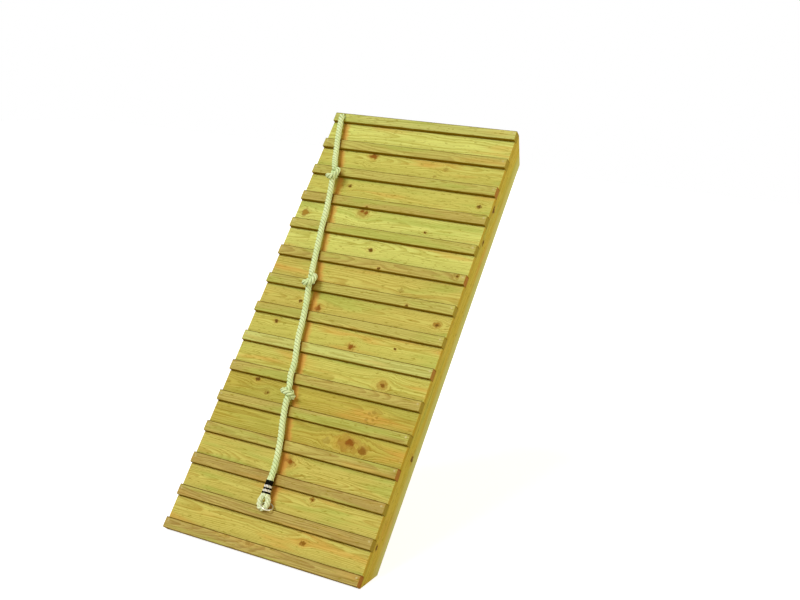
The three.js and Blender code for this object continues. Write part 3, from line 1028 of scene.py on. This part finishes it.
# %% Tones of the pine
TONES = {
    "lime": (paint(216, 221, 115), paint(182, 176, 68)),
    "straw": (paint(208, 207, 101), paint(178, 162, 56)),
    "honey": (paint(207, 199, 97), paint(176, 150, 52)),
    "amber": (paint(193, 181, 76), paint(162, 136, 38)),
    "moss": (paint(201, 206, 114), paint(168, 164, 74)),
    "sage": (paint(194, 190, 96), paint(162, 144, 60)),
    "sand": (paint(191, 180, 92), paint(158, 132, 56)),
    "umber": (paint(182, 164, 88), paint(148, 116, 50)),
    "side": (paint(210, 196, 72), paint(178, 154, 32)),
}
BATTEN_TONES = "moss sage sage sand sage sand sage sage moss sand sand sand umber umber umber".split()
BOARD_TONES = "lime straw straw lime lime honey honey straw straw amber amber honey honey honey".split()
GREEN_PATCH = paint(172, 186, 80)
ORANGE_PATCH = paint(214, 160, 66)
DARK_FIBRE = paint(140, 122, 0)
PALE_FIBRE = paint(222, 214, 112)
print(len(TONES), "tones of pine")

# %% Knots of the pine
WOOD_KNOTS = [
    (0.268, 0.2, 0.014, "red"),
    (0.634, 0.223, 0.008, "faint"),
    (0.592, 0.263, 0.006, "faint"),
    (0.21, 0.365, 0.008, "brown"),
    (0.843, 0.38, 0.009, "brown"),
    (0.34, 0.468, 0.008, "brown"),
    (0.325, 0.485, 0.02, "stained"),
    (0.317, 0.481, 0.007, "red"),
    (0.338, 0.487, 0.008, "red"),
    (0.042, 0.527, 0.014, "ring"),
    (0.645, 0.537, 0.006, "brown"),
    (0.427, 0.66, 0.0105, "brown"),
    (0.858, 0.718, 0.01, "faint"),
    (0.862, 0.722, 0.006, "brown"),
    (0.505, 0.745, 0.008, "brown"),
    (0.633, 0.82, 0.009, "faint"),
    (0.69, 0.888, 0.007, "brown"),
    (0.84, 0.941, 0.011, "ring"),
    (0.842, 0.943, 0.006, "brown"),
    (0.29, 0.968, 0.014, "red"),
    (0.195, 0.949, 0.009, "brown"),
    (0.12, 1.061, 0.009, "brown"),
    (0.506, 1.108, 0.013, "red"),
    (0.702, 1.079, 0.0065, "brown"),
    (0.705, 1.242, 0.01, "brown"),
    (0.702, 1.242, 0.02, "stained"),
    (0.146, 1.33, 0.009, "brown"),
    (0.213, 1.377, 0.01, "faint"),
    (0.215, 1.377, 0.005, "brown"),
    (0.69, 1.393, 0.006, "faint"),
    (0.712, 1.358, 0.007, "faint"),
    (0.73, 1.376, 0.005, "faint"),
    (0.693, 1.366, 0.005, "faint"),
    (0.718, 1.39, 0.005, "faint"),
    (0.645, 1.508, 0.026, "stained"),
    (0.658, 1.5, 0.0155, "red"),
    (0.722, 1.521, 0.0165, "old"),
    (0.552, 1.516, 0.013, "faint"),
    (0.422, 1.636, 0.025, "stained"),
    (0.435, 1.633, 0.0115, "red"),
    (0.411, 1.63, 0.009, "red"),
    (0.589, 1.756, 0.009, "ring"),
    (0.591, 1.757, 0.005, "brown"),
    (0.618, 1.927, 0.01, "old"),
    (0.397, 1.988, 0.008, "faint"),
]
KNOT_LOOKS = {
    "red": {"heart": paint(138, 82, 8), "shows": 0.95, "rim": 0.3, "halo": 0.7},
    "brown": {"heart": paint(104, 70, 0), "shows": 0.96, "rim": 0.0, "halo": 0.4},
    "ring": {"heart": paint(158, 112, 18), "shows": 0.8, "rim": 0.45, "halo": 0.3},
    "old": {"heart": paint(136, 92, 14), "shows": 0.9, "rim": 0.4, "halo": 0.5},
    "faint": {"heart": paint(140, 116, 36), "shows": 0.45, "rim": 0.3, "halo": 0.1},
    "stained": {"heart": paint(160, 108, 24), "shows": 0.4, "rim": 0.25, "halo": 0.5},
}
KNOT_RIM = paint(128, 84, 14)
KNOT_HALO = paint(198, 144, 50)
SIDE_KNOTS = [
    (0.375, -0.04, 0.013, "brown"),
    (0.53, -0.05, 0.009, "brown"),
    (1.49, -0.09, 0.012, "brown"),
    (1.86, -0.05, 0.01, "brown"),
]


# %% Find a timber's knots
def knots_on(middle, half, along_slope):
    """Centre, size, kind and squeeze of each knot on a timber. The centre is from the timber's middle."""
    here = []
    if along_slope:
        for down, out, radius, kind in SIDE_KNOTS:
            centre = Vector((top_edge - down - middle.y, 0, batten_face + out - middle.z))
            here.append((centre, radius, kind, SIDE_SQUEEZE))
        return here
    for across, down, radius, kind in WOOD_KNOTS:
        centre = Vector((left_side + across, top_edge - down, middle.z)) - middle
        if abs(centre.y) <= half.y:
            here.append((centre, radius, kind, FACE_SQUEEZE))
    return here


print(len(WOOD_KNOTS), "knots on the face and", len(SIDE_KNOTS), "on each stringer")


# %% Grow them in the wood
def grow_knots(tree, place, knots):
    """A chain of knot groups. Returns the pulled place, the halos, and each knot with its look."""
    pulled, halo, grown = place, 0.0, []
    for centre, radius, kind, squeeze in knots:
        knot = place_group(
            tree, branch_knot, Place=place, Pulled=pulled, Centre=centre, Radius=radius, Squeeze=squeeze
        )
        look = KNOT_LOOKS[kind]
        pulled = knot["Pulled"]
        halo = maths(tree, "MAXIMUM", halo, maths(tree, "MULTIPLY", knot["Halo"], look["halo"]))
        grown.append((knot, look))
    return pulled, halo, grown


# %% Colour of the grain
def grain_colour(tree, wood, tone, orange_shows):
    """A tone's early and late wood, with patches, fibres and specks over it."""
    early, late = TONES[tone]
    green_shows = 0.3 if tone == "amber" else 0.62
    colour = lay_over(tree, early, wood["Latewood"], 0.7, late)
    for mask, low, high, strength, over in [
        (wood["Drift"], 0.52, 0.68, green_shows, GREEN_PATCH),
        (wood["Drift"], 0.44, 0.28, orange_shows, ORANGE_PATCH),
        (wood["Fibre"], 0.48, 0.3, 0.38, PALE_FIBRE),
        (wood["Fibre"], 0.52, 0.7, 0.52, DARK_FIBRE),
        (wood["Specks"], 0.6, 0.7, 0.6, DARK_FIBRE),
    ]:
        colour = lay_over(tree, colour, step_between(tree, mask, low, high), strength, over)
    return colour


# %% Colour of the marks
# Painted shade: the dark under the rope and just beside it.
ROPE_CONTACT_SHADE = paint(124, 92, 10)
# Painted shadow: the tints where the rope's shadow falls, olive-brown on a batten and orange on a board.
BATTEN_SHADOW_TINT = paint(172, 136, 60)
BOARD_SHADOW_TINT = paint(222, 158, 72)
STRINGER_BACK = paint(204, 214, 132)
# The long edges are painted a little darker.
EDGE_DARKENING = paint(126, 100, 10)
# Painted shade: a thin line along a batten's upper edge, and the low side.
HIGH_EDGE_SHADE = paint(92, 70, 0)
LOW_SIDE_SHADE = paint(138, 112, 0)
BOARD_END = paint(188, 160, 32)
BATTEN_END = paint(156, 136, 10)
RED_BATTEN_END = paint(166, 96, 6)


def rope_marks(tree, colour, place, low, high, on_batten):
    """The rope's painted contact shade under and beside it, and its painted shadow tint, over the colour of
    a batten or a board.
    """
    crossing, slant = rope_crossing(low, high)
    marks = place_group(tree, rope_shadow_marks, Place=place, Crossing=crossing, Slant=slant)
    if on_batten:
        colour = lay_over(tree, colour, marks["Shadow Tint"], 0.6, BATTEN_SHADOW_TINT)
        return lay_over(tree, colour, marks["Contact Shade"], 0.75, ROPE_CONTACT_SHADE)
    colour = lay_over(tree, colour, marks["Shadow Tint"], 0.75, BOARD_SHADOW_TINT)
    return lay_over(tree, colour, marks["Contact Shade"], 0.15, ROPE_CONTACT_SHADE)


def end_marks(tree, colour, ends, on_batten, end_grain):
    """Darker long edges, a painted shadow line along a batten's upper edge, dark end grain and the painted
    shade of the low side.
    """
    colour = lay_over(tree, colour, ends["Edge"], 0.3, EDGE_DARKENING)
    if on_batten:
        colour = lay_over(tree, colour, ends["High Edge"], 0.9, HIGH_EDGE_SHADE)
    colour = lay_over(tree, colour, ends["End"], 0.75, end_grain)
    return tint(tree, ends["Low Side"], colour, LOW_SIDE_SHADE)


# %% Build one timber's material
STRINGERS = ["stringer_left", "stringer_right"]


def pine(node, number, tone):
    """The material of one timber, from its place in the frame and the knots that lie on it."""
    material, tree, shader = start_material(node + "_pine")
    on_batten, along_slope = node in BATTENS, node in STRINGERS
    low, high = flat_box(node)
    middle, half = (low + high) / 2, (high - low) / 2
    if along_slope:
        half = Vector((half.y, half.x, half.z))
    turn = math.radians(-90) if along_slope else 0.0
    place = place_group(tree, timber_axes, Middle=middle, Turn=turn)["Place"]
    pulled, halo, grown = grow_knots(tree, place, knots_on(middle, half, along_slope))
    wood = place_group(
        tree,
        growth_rings,
        Place=pulled,
        Seed=number * 7.3,
        Heart_Across=0.03 * math.sin(number * 2.1),
        Heart_Behind=0.045 + 0.02 * math.sin(number * 1.3),
        Ring_Width=0.0034 + 0.001 * math.sin(number * 3.7),
    )
    ends = place_group(tree, ends_and_edges, Place=place, Half_Size=half)
    colour = grain_colour(tree, wood, tone, 0.34 if on_batten else 0.58)
    colour = lay_over(tree, colour, halo, 0.55, KNOT_HALO)
    for knot, look in grown:
        colour = lay_over(tree, colour, knot["Knot"], look["shows"], look["heart"])
        colour = lay_over(tree, colour, knot["Rim"], look["rim"], KNOT_RIM)
    if along_slope:
        colour = lay_over(tree, colour, ends["Back"], 0.85, STRINGER_BACK)
    else:
        colour = rope_marks(tree, colour, place, low, high, on_batten)
    end_grain = BOARD_END
    if on_batten:
        end_grain = RED_BATTEN_END if number % 3 == 0 else BATTEN_END
    colour = end_marks(tree, colour, ends, on_batten, end_grain)
    tree.links.new(colour, shader.inputs["Base Color"])
    shader.inputs["Specular IOR Level"].default_value = 0.08
    rough = maths(tree, "MULTIPLY_ADD", wood["Latewood"], -0.12, 0.72)
    tree.links.new(rough, shader.inputs["Roughness"])
    relief = maths(tree, "MULTIPLY_ADD", wood["Latewood"], 0.5, wood["Fibre"])
    roughen(tree, shader, relief, 0.35, 0.0006)
    return material


# %% Give every timber its pine
timbers = [
    *zip(BATTENS, range(1, 16), BATTEN_TONES),
    *zip(BOARDS, range(21, 35), BOARD_TONES),
    *zip(STRINGERS, range(40, 42), ["side", "side"]),
]
for node, number, tone in timbers:
    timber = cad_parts[node].data
    timber.materials.clear()
    timber.materials.append(pine(node, number, tone))
    tell(timber.materials[0].node_tree, node)

# %% [markdown]
# ## Rope yarn
#
# Each strand is made of yarns, which show as fine lines that run almost along the rope, because they are
# twisted the other way. We could draw them in the rope's own space, but they would not follow the bends.
# The strands' pattern coordinates do: so many yarns round the strand, with a slant. The black twine has
# the same yarns, only fewer and steeper, so they are a group. The grooves between the strands are painted
# darker as shade, the eye is paler, and between the whippings the tucked strands have stayed almost white.

# %% Group: yarns
yarns, given, result = start_group(
    "yarns",
    [("Pattern", "Vector", None), ("Count", "Float", 11.0), ("Turn", "Float", 0.05)],
    [("Wave", "Float")],
)
tree = yarns
parts = add(tree, "SeparateXYZ", given["Pattern"]).outputs
slanted = maths(tree, "ADD", parts[0], maths(tree, "DIVIDE", parts[1], given["Turn"]))
turns = maths(tree, "MULTIPLY", slanted, given["Count"])
tree.links.new(maths(tree, "SINE", maths(tree, "MULTIPLY", turns, 2 * math.pi)), result["Wave"])
tell(tree, "yarns")

# %% Material: rope
CROWN = paint(234, 252, 190)
WEATHERED_CROWN = paint(220, 244, 176)
EYE_CROWN = paint(244, 248, 210)
NEARLY_WHITE = paint(236, 232, 214)
BETWEEN_YARNS = paint(180, 192, 110)
# Painted shade for the grooves between the strands.
STRAND_GROOVE_SHADE = paint(128, 150, 66)


def rope_look(name, whiter=None):
    """The rope's material. whiter is a stretch, in metres along a strand, that has stayed whiter."""
    material, tree, shader = start_material(name)
    pattern = add(tree, "UVMap", uv_map="pattern").outputs[0]
    parts = add(tree, "SeparateXYZ", pattern).outputs
    yarn_wave = place_group(tree, yarns, Pattern=pattern, Count=11.0, Turn=0.05)["Wave"]
    rope_place = tree.nodes.new("ShaderNodeTexCoord").outputs["Object"]
    blotch = noise(tree, rope_place, 14.0, 3.0)
    colour = tint(tree, step_between(tree, blotch, 0.35, 0.7), CROWN, WEATHERED_CROWN)
    if whiter:
        begun = step_between(tree, parts[1], whiter[0], whiter[0] + 0.003)
        not_ended = step_between(tree, parts[1], whiter[1], whiter[1] - 0.003)
        colour = lay_over(tree, colour, begun, not_ended, NEARLY_WHITE)
    colour = lay_over(tree, colour, step_between(tree, yarn_wave, -0.3, -1.0), 0.2, BETWEEN_YARNS)
    from_eye = add(tree, "VectorMath", rope_place, tuple(eye_middle), operation="DISTANCE")
    in_eye = step_between(tree, from_eye.outputs["Value"], 0.06, 0.04)
    colour = lay_over(tree, colour, in_eye, 0.5, EYE_CROWN)
    # Painted shade in the grooves, where a strand turns in towards the others; half as much in the eye.
    outward = maths(tree, "COSINE", maths(tree, "MULTIPLY", parts[0], 2 * math.pi))
    groove_shade_shows = maths(tree, "MULTIPLY_ADD", in_eye, -0.35, 0.7)
    colour = lay_over(tree, colour, step_between(tree, outward, 0.8, 0.3), groove_shade_shows, STRAND_GROOVE_SHADE)
    tree.links.new(colour, shader.inputs["Base Color"])
    shader.inputs["Roughness"].default_value = 0.9
    fluff = noise(tree, rope_place, 900.0, 3.0)
    roughen(tree, shader, maths(tree, "MULTIPLY_ADD", fluff, 0.8, yarn_wave), 0.4, 0.0006)
    tell(tree, name)
    return material


rope_material = rope_look("pale_rope")
for piece in (climbing_rope, rope_tail):
    piece.data.materials.append(rope_material)
splice.data.materials.append(rope_look("tucked_strands", whiter=(0.036, 0.084)))

# %% Material: black twine
twine_material, tree, shader = start_material("black_twine")
pattern = add(tree, "UVMap", uv_map="pattern").outputs[0]
twist = place_group(tree, yarns, Pattern=pattern, Count=3.0, Turn=0.004)["Wave"]
colour = tint(tree, step_between(tree, twist, -0.5, 1.0), paint(5, 5, 2), paint(26, 24, 16))
tree.links.new(colour, shader.inputs["Base Color"])
shader.inputs["Roughness"].default_value = 0.8
shader.inputs["Specular IOR Level"].default_value = 0.06
roughen(tree, shader, twist, 0.5, 0.0003)
for piece in twines:
    piece.data.materials.append(twine_material)
tell(tree, "black twine")

# %% [markdown]
# ## Steel
#
# The ring is galvanised: dipped in zinc, which sets in dull and bright flakes. Mirror-bright chrome would
# be simpler, but it would show the white studio as white and black stripes. So slow noise changes the
# colour and the roughness together. The small screws have a yellow passivation, and a plain colour does.

# %% Material: galvanised steel
steel_material, tree, shader = start_material("bright_steel")
steel_place = tree.nodes.new("ShaderNodeTexCoord").outputs["Object"]
spangle = noise(tree, steel_place, 160.0, 3.0)
colour = tint(tree, spangle, paint(196, 190, 164), paint(226, 220, 190))
tree.links.new(colour, shader.inputs["Base Color"])
rough = maths(tree, "MULTIPLY_ADD", spangle, 0.3, 0.18)
tree.links.new(rough, shader.inputs["Roughness"])
shader.inputs["Metallic"].default_value = 0.9
ring.data.materials.append(steel_material)
tell(tree, "bright steel")

# %% Material: passivated screws
screw_material, tree, shader = start_material("yellow_zinc")
shader.inputs["Base Color"].default_value = paint(176, 158, 92)
shader.inputs["Roughness"].default_value = 0.5
shader.inputs["Metallic"].default_value = 0.3
for piece in (screws, brads):
    piece.data.materials.append(screw_material)
tell(tree, "yellow zinc")

# %% [markdown]
# ## Floor and light
#
# The ramp was photographed against plain white. The floor is an ordinary pale surface that takes the
# ramp's shadow, and only where the camera looks at it does white shine through. The light comes from
# high on the left, so that each batten and the rope throw a shadow down and to the right. A second, weaker
# sun lights the side of the stringer. Area lamps would do as well, but they light the near end more.

# %% What the camera looks at
def looked_at(tree):
    """1 where the camera sees a surface, straight or by way of another one, and 0 for its light."""
    path = tree.nodes.new("ShaderNodeLightPath").outputs
    seen = maths(tree, "ADD", path["Is Camera Ray"], path["Is Glossy Ray"])
    return maths(tree, "ADD", seen, path["Is Transmission Ray"], clamp=True)


# %% Floor
FLOOR_REACH = 15
GLOW = 0.86
floor_mesh = bpy.data.meshes.new("floor")
corners = [(x * FLOOR_REACH, y * FLOOR_REACH, 0) for x, y in ((-1, -1), (1, -1), (1, 1), (-1, 1))]
floor_mesh.from_pydata(corners, [], [(0, 1, 2, 3)])
floor = bpy.data.objects.new("floor", floor_mesh)
bpy.context.scene.collection.objects.link(floor)
floor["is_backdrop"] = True
floor_material, tree, shader = start_material("white_floor")
shader.inputs["Base Color"].default_value = paint(200, 200, 200)
shader.inputs["Roughness"].default_value = 0.9
glow = add(tree, "Emission", (1, 1, 1, 1), GLOW)
both = add(tree, "AddShader", shader.outputs[0], glow.outputs[0])
choice = add(tree, "MixShader", looked_at(tree), shader.outputs[0], both.outputs[0])
tree.links.new(choice.outputs[0], tree.nodes["Material Output"].inputs["Surface"])
floor_mesh.materials.append(floor_material)
tell(tree, "white floor")

# %% World
AMBIENT = (0.46, 0.29, 0.13, 1)
world = bpy.data.worlds.new("studio")
bpy.context.scene.world = world
world.use_nodes = True
tree = world.node_tree
backdrop = tint(tree, looked_at(tree), AMBIENT, (1, 1, 1, 1))
tree.links.new(backdrop, tree.nodes["Background"].inputs["Color"])
tell(tree, "studio")

# %% Lamps
SUN_WIDTH = 0.5


def hang_sun(name, strength, direction, colour=(1, 1, 1)):
    """A distant lamp, its direction given on the flat ramp. It looks wide from here, so it is soft."""
    lamp = bpy.data.objects.new(name, bpy.data.lights.new(name, "SUN"))
    bpy.context.scene.collection.objects.link(lamp)
    lamp.data.energy = strength
    lamp.data.color = colour
    lamp.data.angle = SUN_WIDTH
    lamp.rotation_mode = "QUATERNION"
    lamp.rotation_quaternion = (slope @ Vector(direction)).to_track_quat("Z", "Y")
    print(name, "lamp from", tuple(round(x, 2) for x in slope @ Vector(direction)))


hang_sun("key", 2.55, (-0.34, 0.31, 1), colour=(0.72, 0.825, 1.0))
hang_sun("fill", 1.45, (1, -0.1, 0.12))

# %% Colour management
bpy.context.scene.view_settings.view_transform = "Standard"
print("view transform:", bpy.context.scene.view_settings.view_transform)

# %% Size of the dressed model
low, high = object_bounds()
print("dressed model from", [round(x, 3) for x in low], "to", [round(x, 3) for x in high])
